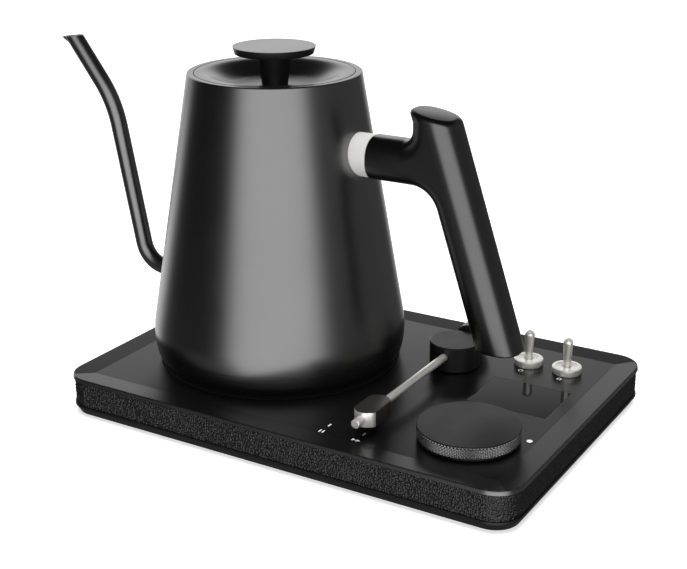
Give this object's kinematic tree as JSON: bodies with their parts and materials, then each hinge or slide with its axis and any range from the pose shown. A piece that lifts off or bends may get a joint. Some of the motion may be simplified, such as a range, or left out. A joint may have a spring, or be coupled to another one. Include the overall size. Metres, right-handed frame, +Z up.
{
  "type": "electric gooseneck kettle",
  "caption": "Black gooseneck electric kettle with a slanted handle on a flat rectangular base with a leather band, control dial, toggle levers and a swinging selector arm.",
  "frame": {"origin": "middle of the base's underside, on the bottom face of the centre foot", "axes": "+X along the base's long side towards the controls and the kettle's handle, +Y away from the user, +Z up"},
  "size_m": [0.3241, 0.1767, 0.1895],
  "materials": {
    "plate_black": "satin black coating on a metal plate",
    "body_black": "satin black coating on stainless steel",
    "control_black": "black anodised aluminium",
    "leather_black": "pebbled black leather-look wrap",
    "trim_black": "fine matt moulded plastic",
    "handle_black": "soft satin moulded plastic",
    "nickel": "polished nickel plate",
    "satin_steel": "satin stainless steel",
    "gunmetal": "dark warm satin anodising",
    "rubber_black": "matt rubber",
    "silicone": "translucent silicone",
    "display_glass": "polished black window",
    "lens_white": "milky light guide",
    "board_green": "solder-masked circuit board",
    "part_plastic": "moulded electrical part",
    "relay_blue": "moulded relay case",
    "winding_yellow": "taped transformer core",
    "brass": "turned brass",
    "heater_alloy": "cast heater alloy"
  },
  "bodies": {
    "base": {"top_plate": "plate_black", "base_housing": "trim_black", "leather_wrap": "leather_black", "bottom_pan": "trim_black", "base_feet": "rubber_black", "base_screws": "satin_steel", "kettle_seat": "rubber_black", "connector_base": "part_plastic", "connector_contacts": "brass", "display_window": "display_glass", "display_module": "part_plastic", "control_board": "board_green", "encoder_body": "satin_steel", "indicator_lens": "lens_white", "power_board": "board_green", "relay": "relay_blue", "transformer": "winding_yellow", "filter_capacitor": "part_plastic", "buzzer": "part_plastic", "cord_gland": "rubber_black", "toggle_nut_1": "nickel", "toggle_nut_2": "nickel", "toggle_switch_1": "satin_steel", "toggle_switch_2": "satin_steel", "arm_bushing": "brass", "arm_sensor": "board_green"},
    "encoder": {"encoder_shaft": "satin_steel"},
    "dial": {"dial_knob": "control_black", "dial_grip_ring": "control_black"},
    "toggle_1": {"toggle_lever_1": "nickel"},
    "toggle_2": {"toggle_lever_2": "nickel"},
    "arm": {"arm_shaft": "satin_steel", "arm_clip": "satin_steel", "arm_magnet": "satin_steel", "arm_drum": "control_black", "arm_tube": "nickel", "headshell": "gunmetal", "headshell_pin": "nickel", "counterweight": "control_black"},
    "coupler": {"upper_connector": "part_plastic"},
    "kettle": {"kettle_base_cover": "body_black", "base_cover_screws": "satin_steel", "kettle_floor": "satin_steel", "heating_element": "heater_alloy", "temperature_sensor": "part_plastic", "kettle_body": "body_black", "spout": "body_black", "spout_filter": "satin_steel", "handle_collar": "satin_steel", "handle_grip": "handle_black", "handle_end_cap": "handle_black", "handle_bolt": "satin_steel"},
    "lid": {"lid_dish": "body_black", "lid_liner": "satin_steel", "lid_seal": "silicone", "lid_stem": "control_black", "lid_knob": "body_black", "lid_screw": "satin_steel"}
  },
  "joints": [
    {"name": "kettle_lift", "type": "slide", "parent": "base", "child": "coupler", "axis": [0, 0, 1], "range_m": [0, 0.06]},
    {"name": "kettle_turn", "type": "hinge", "parent": "coupler", "child": "kettle", "pos_m": [-0.0498, 0.0015, 0.0207], "axis": [0, 0, 1], "continuous": true},
    {"name": "lid_lift", "type": "slide", "parent": "kettle", "child": "lid", "axis": [0, 0, 1], "range_m": [0, 0.05]},
    {"name": "dial_turn", "type": "hinge", "parent": "base", "child": "encoder", "pos_m": [0.0882, -0.0447, 0.0207], "axis": [0, 0, 1], "continuous": true},
    {"name": "dial_press", "type": "slide", "parent": "encoder", "child": "dial", "axis": [0, 0, -1], "range_m": [0, 0.0005], "stiffness_N_per_m": 600, "springref_m": -0.001},
    {"name": "arm_swing", "type": "hinge", "parent": "base", "child": "arm", "pos_m": [0.0425, 0.032, 0.0294], "axis": [0, 0, 1], "range_deg": [-11.1, 0]},
    {"name": "toggle_tilt_1", "type": "hinge", "parent": "base", "child": "toggle_1", "pos_m": [0.0768, 0.0527, 0.02274], "axis": [1, 0, 0], "range_deg": [-12.5, 12.5], "stiffness_Nm_per_rad": 0.05},
    {"name": "toggle_tilt_2", "type": "hinge", "parent": "base", "child": "toggle_2", "pos_m": [0.0988, 0.0527, 0.02274], "axis": [1, 0, 0], "range_deg": [-12.5, 12.5], "stiffness_Nm_per_rad": 0.05}
  ]
}
